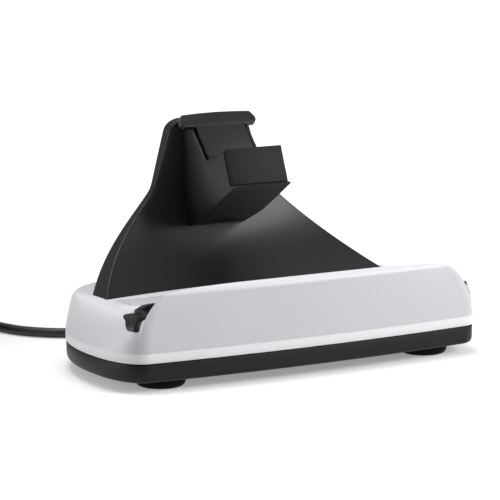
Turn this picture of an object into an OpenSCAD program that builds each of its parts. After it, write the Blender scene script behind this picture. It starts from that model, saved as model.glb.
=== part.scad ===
// Charging dock for a handheld console: a weighted base with a glowing band and a
// through trough, and a curved riser that carries an upper cradle.
// Millimetres. X runs along the trough, the front wall faces -Y, Z = 0 is the table.

/* [Base plan] */
// Half width of the base at its widest place
base_half_w = 84.6; // [84:0.1:86]
// Half depth of the base
base_half_d = 46.4; // [46:0.1:47.5]
// How far the middle of the front bows forward of its ends
front_bow = 3.3; // [2:0.1:4]
// Half width of the nearly straight front
front_flat = 72; // [70:0.5:73]
// Place along Y where the base is widest
widest_y = -17; // [-18:0.5:-15]
// Half width of the straight back
rear_flat = 35; // [33:0.2:37]

/* [Base layers] */
// Underside of the tray above the table
tray_z = 4.1; // [4:0.1:4.4]
// Top of the tray's wall
tray_top = 11.4; // [11:0.1:11.5]
// Underside of the light band
band_z = 11.8; // [11.7:0.1:12]
// Top of the light band, where the cover starts
band_top = 15.7; // [15.5:0.1:16.2]
// Level of the deck behind the trough
deck_z = 28.5; // [28:0.1:29]
// Top of the front wall
ridge_z = 39.4; // [38:0.1:41]
// Wall of the cover and of the tray
wall = 2.2; // [1.8:0.1:2.6]
// How far the two side walls lean in over their height
side_lean = 5; // [4:0.25:5.5]
// Width of the deck's rounded shoulder at its two sides
deck_fillet = 7.5; // [6:0.5:9]
// Width of the deck's rounded edge at the back
deck_rear_fillet = 2; // [1.5:0.1:3]
// Width of the rounded ends of the front wall
ridge_fillet = 17.2; // [15:0.1:18]
// How far the front wall leans back over its height
ridge_lean = 2.2; // [1:0.1:2.6]
// Radius along the top edge of the front wall
ridge_edge = 2.6; // [2:0.1:3]

/* [Trough] */
// Front side of the trough, which is the back of the front wall
trough_front = -40.7; // [-41.5:0.1:-40]
// Underside of the liner's floor
trough_floor = 23.2; // [22.8:0.1:24]
// Back edge of the trough at its narrow ends
slot_rear = -25.4; // [-26:0.1:-25]
// Back edge of the trough's wide middle
pocket_rear = -15.8; // [-16.5:0.1:-15]
// Thickness of the liner
liner_t = 2; // [1.6:0.1:2.2]
// Lean of the console in the trough, in degrees
console_lean = 22; // [18:0.5:24]

/* [Riser] */
// Half width of the riser where it stands on the deck
riser_foot_w = 66.4; // [64:0.2:68]
// Front edge of the riser's ends at the deck
riser_foot_y = 4.2; // [3:0.1:6]
// Place of the riser's front where it has turned upright
riser_top_y = 36.6; // [36:0.1:37.5]
// Height at which the riser is upright
riser_upright_z = 77.7; // [75:0.1:80]
// Height at which the riser's flare, hollow and deep sides have run out
riser_bend_z = 58.7; // [57:0.1:61]
// Top of the riser
riser_top = 93.7; // [93:0.1:95]
// Thickness of the riser's front shell, along Y
front_shell_t = 2.6; // [2.2:0.1:3]
// Hollow of the riser's front at the deck
riser_dish = 7; // [5:0.5:8]

/* [Cradle] */
// Half width of the cradle block
block_half_w = 13.4; // [12.5:0.1:14]
// Thickness of the face plate on the block
face_t = 2; // [1.5:0.1:2.4]
// Half width of the back plate between the cheeks
plate_half_w = 11.5; // [11:0.1:11.8]
// Half width of the back plate's ears
ear_half_w = 17.8; // [16:0.2:19]
// Thickness of the back plate
plate_t = 2.3; // [2:0.1:2.5]

/* [Feet and lead] */
// Radius of a rubber foot
foot_r = 9.9; // [9:0.1:10.5]
// Diameter of the lead
lead_d = 4.2; // [4:0.1:4.4]
// Height of the lead's exit in the back wall
exit_z = 8.7; // [8.6:0.1:8.8]

/* [Hidden] */
fine = 48;
slip = 0.1;
above = 60;
reach = 100;

cover_grey = [0.80, 0.81, 0.83];
band_white = [0.96, 0.96, 0.97];
black_abs = [0.10, 0.10, 0.11];
dark_abs = [0.16, 0.16, 0.17];
rubber_black = [0.05, 0.05, 0.05];
steel = [0.70, 0.71, 0.73];
board_green = [0.08, 0.32, 0.18];
led_cream = [0.95, 0.92, 0.75];

// Plan of the base, as a half outline from the front's middle round to the back
corner_power = 2.3;
rear_power = 2.15;
function front_pts(n) = [for (i = [0:n]) let (x = front_flat * i / n)
    [x, front_bow * pow(x / front_flat, 2) - base_half_d]];
function corner_pts(n) = [for (i = [1:n]) let (t = 90 * (1 - i / n))
    [front_flat + (base_half_w - front_flat) * pow(cos(t), 2 / corner_power),
     widest_y - (base_half_d - front_bow + widest_y) * pow(sin(t), 2 / corner_power)]];
function rear_pts(n) = [for (i = [1:n]) let (t = 90 * i / n)
    [rear_flat + (base_half_w - rear_flat) * pow(cos(t), 2 / rear_power),
     widest_y + (base_half_d - widest_y) * pow(sin(t), 2 / rear_power)]];
half_plan = concat(front_pts(6), corner_pts(8), rear_pts(10));
half_n = len(half_plan);
plan = concat(half_plan, [for (i = [half_n - 1:-1:1]) [-half_plan[i].x, half_plan[i].y]]);
plan_n = len(plan);
function unit(v) = v / norm(v);
plan_normal = [for (i = [0:plan_n - 1])
    let (d = unit(plan[(i + 1) % plan_n] - plan[(i + plan_n - 1) % plan_n])) [d.y, -d.x]];

// A level ring of the plan, set in by side at its two ends and by other at its front and back
rear_blend = 6;
front_blend = 3.4;
function ring(z, side, other) = [for (i = [0:plan_n - 1])
    let (n = plan_normal[i], w = pow(abs(n.x), n.y > 0 ? rear_blend : front_blend),
         p = plan[i] - n * (side * w + other * (1 - w)))
    [p.x, p.y, z]];
function flat_ring(inset) = [for (p = ring(0, inset, inset)) [p.x, p.y]];

// A closed solid through level rings of equal length, lowest ring first
module loft(rings) {
    n = len(rings[0]);
    last = len(rings) - 1;
    polyhedron(
        points = [for (r = rings) for (p = r) p],
        faces = concat(
            [[for (i = [0:n - 1]) i]],
            [[for (i = [n - 1:-1:0]) last * n + i]],
            [for (k = [0:last - 1]) for (i = [0:n - 1]) let (a = k * n + i, b = k * n + (i + 1) % n)
                each [[a, a + n, b + n], [a, b + n, b]]]));
}

// A closed solid between two grids of points, the first of them in front
module between(a, b) {
    rows = len(a) - 1;
    cols = len(a[0]) - 1;
    w = cols + 1;
    m = (rows + 1) * w;
    function quad(p, q, r, s) = [[p, q, r], [p, r, s]];
    polyhedron(
        points = concat([for (r = a) for (p = r) p], [for (r = b) for (p = r) p]),
        faces = concat(
            [for (r = [0:rows - 1]) for (c = [0:cols - 1]) let (k = r * w + c)
                each quad(k, k + w, k + w + 1, k + 1)],
            [for (r = [0:rows - 1]) for (c = [0:cols - 1]) let (k = m + r * w + c)
                each quad(k, k + 1, k + w + 1, k + w)],
            [for (c = [0:cols - 1]) each quad(c, c + 1, m + c + 1, m + c)],
            [for (c = [0:cols - 1]) let (k = rows * w + c) each quad(k + 1, k, m + k, m + k + 1)],
            [for (r = [0:rows - 1]) let (k = r * w) each quad(k + w, k, m + k, m + k + w)],
            [for (r = [0:rows - 1]) let (k = r * w + cols)
                each quad(k, k + w, m + k + w, m + k)]));
}

// A YZ outline extruded along X
module along_x(x0, x1) {
    translate([x0, 0, 0]) rotate([90, 0, 90]) linear_extrude(x1 - x0) children();
}

module mirrored() {
    children();
    mirror([1, 0, 0]) children();
}

module at_each(places) {
    for (p = places) translate(p) children();
}

// Places of the posts, bosses, screws and feet
front_post_at = [[-30, -37.8], [30, -37.8]];
deck_post_at = [[-72, -2], [72, -2], [-40, 34], [40, 34]];
base_screw_at = concat(front_post_at, deck_post_at);
ballast_screw_at = [[-46, -17], [46, -17], [-46, 1], [46, 1]];
board_screw_at = [[-24, 14], [24, 14], [-24, 33], [24, 33]];
riser_foot_at = [[-42, 15.5], [-14, 19], [14, 19], [42, 15.5]];
riser_screw_at = [[-12, 76], [12, 76], [-18, 60], [18, 60]];
cradle_screw_at = [60, 84];
front_foot = [61.5, -29.5];
rear_foot = [50, 27];

// Fastener sizes
pilot_r = 1.3;
shank_r = 1.25;
head_r = 2.5;
head_h = 1.6;
wide_head_r = 4.6;
post_r = 3.2;

// Tray
floor_top = tray_z + 2;
tray_inset = 0.25;
foot_sink = 0.7;
head_seat_z = tray_z + 3;
board_z = 9.7;
board_t = 1.6;
board_size = [56, 26];
board_y = 23.5;
ballast_t = 3;
ballast_z = floor_top + slip;
ballast_size = [104, 28];
ballast_y = -8;
relief_r = 2.9;

module tray_body() {
    loft([for (e = [[0, 2.2], [0.3, 1.2], [0.9, 0.6], [1.8, 0.35], [3, tray_inset], [tray_top - tray_z, tray_inset]])
        ring(tray_z + e[0], e[1], e[1])]);
}

module base_tray() color(dark_abs) difference() {
    union() {
        difference() {
            union() {
                tray_body();
                translate([0, 0, tray_top - 1]) linear_extrude(band_z - tray_top + 1) polygon(flat_ring(1));
            }
            translate([0, 0, floor_top]) linear_extrude(above) polygon(flat_ring(wall + tray_inset));
        }
        at_each(base_screw_at) translate([0, 0, tray_z + 1]) cylinder(r = post_r, h = band_z - tray_z - 1, $fn = fine);
        at_each(ballast_screw_at) translate([0, 0, tray_z + 1])
            cylinder(r = post_r - 0.3, h = ballast_z + ballast_t - tray_z - 1, $fn = fine);
        at_each(board_screw_at) translate([0, 0, tray_z + 1]) cylinder(r = 2.6, h = board_z - tray_z - 1, $fn = fine);
    }
    mirrored() at_each([front_foot, rear_foot]) translate([0, 0, tray_z - 1])
        cylinder(r = foot_r + slip, h = 1 + foot_sink, $fn = fine);
    at_each(base_screw_at) {
        translate([0, 0, tray_z - 1]) cylinder(r = shank_r + 0.25, h = above, $fn = fine);
        translate([0, 0, tray_z - 1]) cylinder(r = head_r + 0.2, h = head_seat_z - tray_z + 1, $fn = fine);
    }
    at_each(ballast_screw_at) translate([0, 0, floor_top]) cylinder(r = pilot_r, h = above, $fn = fine);
    at_each(board_screw_at) translate([0, 0, floor_top]) cylinder(r = pilot_r, h = above, $fn = fine);
    translate([0, base_half_d + 2, exit_z]) rotate([90, 0, 0]) cylinder(r = relief_r + slip, h = 6, $fn = fine);
}

module foot(at) color(rubber_black) translate(at)
    rotate_extrude($fn = 2 * fine) polygon([[0, 0], [foot_r - 2.4, 0], [foot_r - 1.2, 0.35], [foot_r - 0.5, 1],
        [foot_r - 0.1, 2], [foot_r, 3], [foot_r, tray_z + foot_sink], [0, tray_z + foot_sink]]);
module foot_front_left() foot([-front_foot.x, front_foot.y]);
module foot_front_right() foot(front_foot);
module foot_rear_left() foot([-rear_foot.x, rear_foot.y]);
module foot_rear_right() foot(rear_foot);

module ballast_plate() color(steel) translate([0, ballast_y, ballast_z]) linear_extrude(ballast_t) difference() {
    square(ballast_size, center = true);
    translate([0, -ballast_y]) at_each(ballast_screw_at) circle(r = post_r, $fn = fine);
}

// Band of light and what lights it
band_t = 3;
strip_inset = 3.9;
strip_t = 0.3;
led_size = [2.8, 0.6, 2];

module light_band() color(band_white) translate([0, 0, band_z]) linear_extrude(band_top - band_z)
    difference() {
        polygon(flat_ring(0));
        polygon(flat_ring(band_t));
    }

module led_strip() color(board_green) translate([0, 0, band_z + 0.3]) linear_extrude(band_top - band_z - 0.6)
    difference() {
        polygon(flat_ring(strip_inset));
        polygon(flat_ring(strip_inset + strip_t));
        translate([-12, 20]) square([24, 40]);
    }

module leds() color(led_cream) for (i = [1:2:plan_n - 1]) {
    a = plan[i] - plan_normal[i] * strip_inset;
    b = plan[(i + 1) % plan_n] - plan_normal[(i + 1) % plan_n] * strip_inset;
    along = unit(b - a);
    mid = (a + b) / 2;
    if (norm(b - a) > led_size.x + 0.6) translate([mid.x, mid.y, (band_z + band_top) / 2])
        rotate(atan2(along.y, along.x)) translate([-led_size.x / 2, -led_size.y, -led_size.z / 2]) cube(led_size);
}

// Cover
shoulder_steps = 8;
shoulder_power = 3.5;
ridge_steps = 10;
function shoulder(off, start_z) = concat([ring(start_z, off, off)],
    [for (k = [1:shoulder_steps]) let (t = 90 * k / shoulder_steps, c = 1 - pow(cos(t), 2 / shoulder_power),
        rise = pow(sin(t), 2 / shoulder_power))
        ring(band_top + (deck_z - band_top - off) * rise,
             off + side_lean * rise + deck_fillet * c, off + deck_rear_fillet * c)]);
function edge_in(z) = let (d = max(0, z - ridge_z + ridge_edge) / ridge_edge)
    ridge_edge * (1 - sqrt(max(0, 1 - d * d)));
function ridge_ring(z, squeeze, lean) = [for (i = [0:plan_n - 1])
    [plan[i].x * (1 - squeeze / base_half_w), plan[i].y + lean * max(0, -plan_normal[i].y), z]];
function ridge_rings() = [for (k = [0:ridge_steps])
    let (t = 90 * k / ridge_steps, z = band_top + (ridge_z - band_top) * sin(t))
    ridge_ring(z, ridge_fillet * (1 - cos(t)), ridge_lean * sin(t) + edge_in(z))];
module deck_body() loft(shoulder(0, band_top));
module deck_inside() loft(shoulder(wall, band_top - 1));
module ridge_body() loft(ridge_rings());

// Trough: the space that it leaves, set in by a thickness
pocket_half = 58.9;
pocket_rim = 1;
function slot_outline(t) = [[slot_rear - t, above], [slot_rear - t, trough_floor + 5 + 0.8 * t],
    [trough_front + 9.9 - 0.43 * t, trough_floor + 3.7 + 0.92 * t],
    [trough_front + 5.8 - 0.33 * t, trough_floor + 0.7 + t], [trough_front + t, trough_floor + 0.6 + t],
    [trough_front + t, above]];
function pocket_half_plan(t) = [[pocket_half, pocket_rear - t],
    [pocket_half + 3.9 - 0.6 * t, pocket_rear - 1.5 - 0.9 * t],
    [pocket_half + 10.3 - 1.2 * t, pocket_rear - 8 - 0.4 * t],
    [pocket_half + 11.7 - 1.4 * t, pocket_rear - 9.2], [pocket_half + 11.7 - 1.4 * t, trough_front + 7 - t]];
function pocket_plan(t) = let (h = pocket_half_plan(t))
    concat(h, [for (i = [len(h) - 1:-1:0]) [-h[i].x, h[i].y]]);
module trough_space(t, top) {
    intersection() {
        along_x(-reach, reach) polygon(slot_outline(t));
        translate([-reach, -reach, 0]) cube([2 * reach, 2 * reach, top]);
    }
    translate([0, 0, trough_floor + t]) linear_extrude(top - trough_floor - t) polygon(pocket_plan(t));
}

// Raised bolster between the trough and the riser
bolster_half = 64.5;
bolster_front = -12.6;
bolster_h = 2.8;
bolster_run = 14.4;
module bolster() {
    along_x(-bolster_half, bolster_half) polygon([[bolster_front, deck_z - 1], [bolster_front, deck_z + bolster_h],
        [bolster_front + bolster_run, deck_z], [bolster_front + bolster_run, deck_z - 1]]);
}

collar_r = 5.2;
collar_z = 19.9;
module top_cover() color(cover_grey) {
    difference() {
        union() {
            difference() {
                union() {
                    intersection() {
                        deck_body();
                        translate([-reach, trough_front - 0.2, 0]) cube([2 * reach, 2 * reach, above]);
                    }
                    intersection() {
                        ridge_body();
                        translate([-reach, -reach, 0]) cube([2 * reach, reach + trough_front, above]);
                    }
                    bolster();
                }
                deck_inside();
                trough_space(0, above);
            }
            at_each(riser_foot_at) translate([0, 0, collar_z])
                cylinder(r = collar_r, h = deck_z - 1 - collar_z, $fn = fine);
            at_each(deck_post_at) translate([0, 0, band_z]) cylinder(r = post_r, h = deck_z - 1 - band_z, $fn = fine);
            at_each(front_post_at) {
                translate([0, 0, band_z]) cylinder(r = post_r, h = trough_floor - slip - band_z, $fn = fine);
                translate([-1, -6.4, band_top + slip]) cube([2, 5, trough_floor - band_top - 2 * slip]);
            }
        }
        at_each(riser_foot_at) cylinder(r = post_r + slip, h = above, $fn = fine);
        at_each(base_screw_at) translate([0, 0, band_z - 1]) cylinder(r = pilot_r, h = 9, $fn = fine);
    }
}

// Console plug, leaned as the console leans
plug_y = -29.8;
plug_z = 27.7;
housing_size = [22, 8];
housing_top = -1;
housing_base = -9.2;
plug_size = [8.34, 2.56];
plug_wall = 0.3;
plug_h = 6.5;
module leaned() {
    translate([0, plug_y, plug_z]) rotate([-console_lean, 0, 0]) children();
}
module stadium(size) {
    polygon([for (side = [1, -1]) for (a = [-90:7.5:90])
        side * [(size.x - size.y + size.y * cos(a)) / 2, size.y * sin(a) / 2]]);
}
module plug_housing() color(black_abs) leaned() difference() {
    union() {
        translate([0, 0, housing_base]) linear_extrude(housing_top - housing_base) stadium(housing_size);
        translate([0, 0, housing_base]) linear_extrude(1.5) square([29, 11.5], center = true);
    }
    translate([0, 0, housing_base - 1]) linear_extrude(above) stadium(plug_size);
}
module plug_shell() color(steel) leaned() translate([0, 0, housing_base]) linear_extrude(plug_h - housing_base)
    difference() {
        stadium(plug_size);
        stadium(plug_size - [2, 2] * plug_wall);
    }
module plug_insert() color(black_abs) leaned() difference() {
    translate([0, 0, housing_base]) linear_extrude(plug_h - housing_base - 0.4) stadium(plug_size - [2, 2] * plug_wall);
    translate([0, 0, 1]) linear_extrude(above) square([6.7, 0.9], center = true);
}
module plug_board() color(board_green) leaned() translate([-13, -6, housing_base - 1.2]) cube([26, 12, 1.2]);

module trough_liner() color(black_abs) difference() {
    union() {
        intersection() {
            along_x(-reach, reach) polygon(slot_outline(slip));
            deck_body();
        }
        intersection() {
            ridge_body();
            translate([-reach, trough_front + slip, trough_floor + 1]) cube([2 * reach, liner_t, 5.4]);
        }
        translate([0, 0, trough_floor + slip]) linear_extrude(deck_z + pocket_rim - trough_floor - slip)
            polygon(pocket_plan(slip));
    }
    trough_space(liner_t, above);
    leaned() translate([0, 0, -above / 2]) linear_extrude(above) stadium(housing_size + [2, 2] * slip);
}

// Riser: its width, its front and its depth at a height
flare = 1.09;
taper = 0.32;
waist_w = 25.8;
waist_z = 67.7;
waist_soft = 0.8;
corner_r = 5.5;
upright_dish = -1.2;
function lean_part(z) = max(0, riser_bend_z - z) / (riser_bend_z - deck_z);
function riser_w(z) = let (a = riser_foot_w - flare * (z - deck_z), b = waist_w - taper * (z - waist_z),
    d = max(0, z - riser_top + corner_r) / corner_r)
    (a + b) / 2 + sqrt(pow((a - b) / 2, 2) + pow(waist_soft, 2)) - corner_r * (1 - sqrt(max(0, 1 - d * d)));
function bend_part(z) = max(0, riser_upright_z - z) / (riser_upright_z - deck_z);
function riser_y(z) = riser_top_y - (riser_top_y - riser_foot_y) * pow(bend_part(z), 2.75);
function riser_c(z) = upright_dish + (riser_dish - upright_dish) * pow(lean_part(z), 1.2);
function front_y(x, z) = riser_y(z) + riser_c(z) * (1 - pow(x / riser_w(z), 2));
side_low = 0.8;
side_gain = 9.4;
side_widen = 0.11;
rear_crown = 6.5;
edge_share = 0.14;
function side_depth(z) = side_low + side_gain * pow(lean_part(z), 1.5) + side_widen * max(0, z - waist_z);
function edge_keep(u) = 1 - edge_share * (1 - sqrt(1 - pow(abs(u), 16)));
function top_fade(z) = let (d = max(0, z - riser_top + 3.4) / 3.6) sqrt(1 - d * d);
function rear_depth(u, z) = 0.6 + top_fade(z) * (side_depth(z) + rear_crown * (1 - u * u)) * edge_keep(u);
function rear_y(x, z) = front_y(x, z) + front_shell_t + slip + rear_depth(x / riser_w(z), z);
function steepness(z) = (riser_y(z + 1) - riser_y(z - 1)) / 2;
riser_levels = [deck_z, 30.5, 33.5, 37.5, 42, 47, 52, 57, 61, 64.5, 68.5, 73.5, 81, 88.2, 90.7, 92.5, riser_top];
half_u = [0.25, 0.5, 0.72, 0.87, 0.95, 0.985, 1];
rear_u = concat([for (i = [len(half_u) - 1:-1:0]) -half_u[i]], [0], half_u);
front_u = [for (i = [-7:7]) i / 7];

// A grid of riser points: set in from the edge, set back from the front by an extra, and by a share of the depth
function riser_grid(levels, us, edge, back, share) = [for (z = levels) [for (u = us)
    let (x = u * (riser_w(z) - edge)) [x, front_y(x, z) + back + share * rear_depth(u, z), z]]];

module front_boss(at, r) {
    start = front_y(at.x, at.y) + 1.2 + r * steepness(at.y);
    stop = rear_y(at.x, at.y) - wall - r * steepness(at.y) - 0.2;
    translate([at.x, stop, at.y]) rotate([90, 0, 0]) cylinder(r = r, h = stop - start, $fn = fine);
}
module riser_hole(at, r, start, stop) {
    translate([at.x, rear_y(at.x, at.y) + stop, at.y]) rotate([90, 0, 0]) cylinder(r = r, h = stop - start, $fn = fine);
}

module riser_front() color(black_abs) difference() {
    union() {
        between(riser_grid(riser_levels, front_u, 0, 0, 0), riser_grid(riser_levels, front_u, 0, front_shell_t, 0));
        at_each_boss() front_boss($at, 2.6);
    }
    at_each_boss() riser_hole($at, pilot_r, -7.2, 4);
    for (z = cradle_screw_at) translate([0, riser_top_y + 20, z]) rotate([90, 0, 0])
        cylinder(r = shank_r + 0.25, h = 30, $fn = fine);
}
module at_each_boss() {
    for (at = riser_screw_at) {
        $at = at;
        children();
    }
}

hollow_levels = [deck_z + 2, 33.5, 37.5, 42, 47, 52, 57, 61, 64.5, 68.5, 73.5, 81, 88.2, riser_top - 2.6];
boss_bottom = 19.7;
module riser_rear() color(black_abs) difference() {
    union() {
        difference() {
            between(riser_grid(riser_levels, rear_u, 0.3, front_shell_t + slip, 0),
                    riser_grid(riser_levels, rear_u, 0.3, front_shell_t + slip, 1));
            between(riser_grid(hollow_levels, rear_u, wall + 0.3, front_shell_t - 3, 0),
                    riser_grid(hollow_levels, rear_u, wall + 0.3, front_shell_t + slip - wall, 1));
        }
        at_each(riser_foot_at) translate([0, 0, boss_bottom])
            cylinder(r = post_r, h = deck_z + 1 - boss_bottom, $fn = fine);
    }
    at_each(riser_foot_at) translate([0, 0, boss_bottom - 1]) cylinder(r = pilot_r, h = 9, $fn = fine);
    at_each_boss() {
        riser_hole($at, shank_r + 0.25, -6, 4);
        riser_hole($at, head_r + 0.2, -1.2, 4);
    }
}

// Cradle block in the YZ plane, then what sits in it
face_low = [-3.5, 70.9];
face_high = [2, 85];
face_back = [face_t, -0.4 * face_t];
block_outline = [[-5.3, 70.4], face_low, face_low + face_back, face_high + face_back - [0.2, 0.5], [7, 81.5],
    [14.7, 80.3], [17.4, 77.7], [32.6, 94.7], [45, 94.7], [45, 43.7], [33.9, 48.6], [16.9, 56.4], [3.5, 64.7]];
block_hollow = [[45, 87.7], [30.8, 87.7], [21.8, 77], [20.2, 76.1], [14, 78.1], [7.6, 79.1], [4.8, 78.5],
    [1.4, 71.1], [4.8, 66.7], [18, 58.5], [34.7, 50.7], [45, 45.7]];
plate_foot = [18.5, 79.8];
plate_lean = 40.2;
plate_top = 21.6;
ear_low = 15;
recess_half_w = block_half_w - 1;
// Height, length and depth of the hole of the two bosses behind the block
cradle_bosses = [[cradle_screw_at[0], 27, 26], [cradle_screw_at[1], 15, 20]];
module riser_envelope(off) {
    xs = [for (i = [-4:4]) i / 4 * 20];
    zs = [38, 42, 47, 52, 57, 61, 64.5, 68.5, 73.5, 81, 100];
    between([for (z = zs) [for (x = xs) [x, front_y_wide(x, z) - off, z]]],
            [for (z = zs) [for (x = xs) [x, above + 10, z]]]);
}
function front_y_wide(x, z) = let (w = riser_w(min(z, riser_top - corner_r)))
    riser_y(z) + riser_c(z) * (1 - pow(x / w, 2));
module in_plate() {
    translate([0, plate_foot.x, plate_foot.y]) rotate([-plate_lean, 0, 0]) children();
}
module cradle_block() color(black_abs) difference() {
    union() {
        difference() {
            along_x(-block_half_w, block_half_w) polygon(block_outline);
            along_x(2 - block_half_w, block_half_w - 2) polygon(block_hollow);
        }
        for (b = cradle_bosses) translate([0, 45, b[0]]) rotate([90, 0, 0]) cylinder(r = post_r, h = b[1], $fn = fine);
    }
    in_plate() translate([-recess_half_w, -10, -0.8]) cube([2 * recess_half_w, 10 + plate_t, 40]);
    for (b = cradle_bosses) translate([0, 50, b[0]]) rotate([90, 0, 0]) cylinder(r = pilot_r, h = b[2], $fn = fine);
    riser_envelope(slip);
}
module cradle_face() color(dark_abs) along_x(0.5 - block_half_w, block_half_w - 0.5)
    polygon([face_low + [0, 0.05], face_high, face_high + face_back - [0, 0.3], face_low + face_back + [0, 0.05]]);
ear_outline = [[plate_half_w, 0], [plate_half_w, ear_low], [ear_half_w - 1.2, ear_low], [ear_half_w, ear_low + 1.6],
    [ear_half_w, ear_low + 3.2], [ear_half_w - 1.6, plate_top - 0.6], [ear_half_w / 2, plate_top - 0.2]];
module back_plate() color(black_abs) in_plate() translate([0, plate_t, 0]) rotate([90, 0, 0])
    linear_extrude(plate_t) polygon(concat(ear_outline, [[0, plate_top]],
        [for (i = [len(ear_outline) - 1:-1:0]) [-ear_outline[i].x, ear_outline[i].y]]));

// Board and its parts
module main_board() color(board_green) translate([0, board_y, board_z]) linear_extrude(board_t) difference() {
    square(board_size, center = true);
    translate([0, -board_y]) at_each(board_screw_at) circle(r = shank_r + 0.35, $fn = fine);
}
part_boxes = [[[-5, 22], [7, 7, 1]], [[8, 23], [6, 6, 3]], [[-17, 26], [5, 4, 1.6]], [[18, 26], [4, 5, 2]],
    [[0, 32.4], [9, 6, 5.2]], [[-18, 20], [3, 1.6, 1]], [[17, 17.5], [7, 4, 4]], [[-8, 31], [3, 2, 1]]];
module board_parts() color(black_abs) for (b = part_boxes)
    translate([b[0].x - b[1].x / 2, b[0].y - b[1].y / 2, board_z + board_t]) cube(b[1]);

// Screws stand on their heads at the seat and point along +Z
module screw(r, l, head = head_h) {
    difference() {
        translate([0, 0, -head]) cylinder(r = r, h = head, $fn = fine);
        translate([0, 0, -head]) for (a = [0, 90]) rotate(a) cube([2.6, 0.6, 1.2], center = true);
    }
    cylinder(r = shank_r, h = l, $fn = fine);
}
module base_screws() color(steel) at_each(base_screw_at) translate([0, 0, head_seat_z]) screw(head_r, 11);
module ballast_screws() color(steel) at_each(ballast_screw_at)
    translate([0, 0, ballast_z + ballast_t]) mirror([0, 0, 1]) screw(wide_head_r, 2.6);
module board_screws() color(steel) at_each(board_screw_at)
    translate([0, 0, board_z + board_t]) mirror([0, 0, 1]) screw(head_r, 5);
module riser_foot_screws() color(steel) at_each(riser_foot_at) translate([0, 0, boss_bottom]) screw(wide_head_r, 7.5);
module riser_screws() color(steel) at_each_boss() translate([$at.x, rear_y($at.x, $at.y) - 1.2, $at.y])
    rotate([90, 0, 0]) screw(head_r, 5.6, 1);
module cradle_screws() color(steel) for (z = cradle_screw_at)
    translate([0, front_y(0, z) + front_shell_t, z]) rotate([90, 0, 0]) screw(head_r, z > waist_z ? 7.5 : 11);

// Lead: route in the open, coil, and the tail with its plug
lead_r = lead_d / 2;
relief_end = 56;
lead_route = [[0, 46.2, 8.7], [0, 51, 8.7], [0, 56, 8.6], [0, 59.5, 8.2], [-0.6, 63.6, 7.2],
    [-3, 67.6, 5.7], [-7.2, 70.2, 4.3], [-12.6, 71, 3.1], [-19, 70.6, 2.3], [-26, 70, 2.1],
    [-33, 69.7, 2.1], [-39.5, 70.1, 2.1], [-45.4, 71.3, 2.1], [-51, 73.8, 2.1], [-55, 77, 2.1],
    [-58.7, 81, 2.1], [-62, 85.6, 2.1], [-64.6, 91.3, 2.1], [-66.5, 98.5, 2.1], [-68.3, 105, 2.2],
    [-70.2, 111, 2.5], [-72, 116.9, 3]];
coil_at = [-100, 110];
coil_mid_r = 24.6;
coil_half_w = 6.4;
coil_h = 13.6;
tail_route = [[-128.8, 110, 11.4], [-128.8, 103, 10.6], [-128.6, 96, 8.6], [-128, 89.5, 6.3], [-127.1, 83.6, 4.7],
    [-126, 78, 4]];
plug_heading = -78;
tie_w = 10;
tie_t = 0.7;
sides = 10;

// A tube of the lead's diameter through a list of points
function direction(p, i) = unit(p[min(i + 1, len(p) - 1)] - p[max(i - 1, 0)]);
function tube_ring(p, i, r) = let (t = direction(p, i), s = unit(cross(t, [0, 0, 1])), u = cross(s, t))
    [for (k = [0:sides - 1]) let (a = 360 * k / sides) p[i] + r * (cos(a) * s + sin(a) * u)];
module tube(p, r) loft([for (i = [0:len(p) - 1]) tube_ring(p, i, r)]);

module coil_shape() {
    translate([coil_at.x, coil_at.y, 0]) rotate_extrude($fn = 2 * fine) translate([coil_mid_r, 0]) polygon([
        [-coil_half_w, 2], [2 - coil_half_w, 0], [coil_half_w - 2, 0], [coil_half_w, 2],
        [coil_half_w, coil_h - 2], [coil_half_w - 2, coil_h], [2 - coil_half_w, coil_h], [-coil_half_w, coil_h - 2]]);
}
module tie_block(grow) {
    translate([coil_at.x - tie_w / 2, coil_at.y - coil_mid_r - coil_half_w - grow, -grow])
        cube([tie_w, 2 * (coil_half_w + grow), coil_h + 2 * grow]);
}
module power_lead() color(rubber_black) difference() {
    tube(lead_route, lead_r);
    coil_shape();
}
module power_lead_end() color(rubber_black) difference() {
    tube(tail_route, lead_r);
    coil_shape();
}
module power_lead_coil() color(rubber_black) difference() {
    coil_shape();
    difference() {
        tie_block(1);
        translate([0, 0, tie_t]) tie_inner();
    }
}
module lead_tie_solid() {
    difference() {
        tie_block(0);
        translate([0, 0, tie_t]) tie_inner();
    }
}
module tie_inner() {
    translate([coil_at.x - tie_w, coil_at.y - coil_mid_r - coil_half_w + tie_t, 0])
        cube([2 * tie_w, 2 * (coil_half_w - tie_t), coil_h - 2 * tie_t]);
}
module lead_tie() color(dark_abs) lead_tie_solid();

module strain_relief() color(rubber_black) difference() {
    union() {
        translate([0, relief_end, exit_z]) rotate([90, 0, 0]) cylinder(r1 = 2.6, r2 = relief_r, h = relief_end - 42.9, $fn = fine);
        translate([0, base_half_d - tray_inset + 0.1, exit_z]) rotate([-90, 0, 0])
            cylinder(r1 = 4.2, r2 = 3.4, h = 2.4, $fn = fine);
        translate([-5, 41.9, floor_top + slip]) cube([10, 1.9, band_z - floor_top - 0.3]);
    }
    translate([0, relief_end + 1, exit_z]) rotate([90, 0, 0]) cylinder(r = lead_r, h = 20, $fn = fine);
}
inner_route = [[0, 46.2, 8.7], [0, 44, 8.7], [0, 41.6, 9.3], [0, 39.6, 11.2], [0, 38.2, 13.1], [0, 35.5, 13.9]];
module inner_lead() color(rubber_black) tube(inner_route, lead_r - 0.05);

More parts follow.
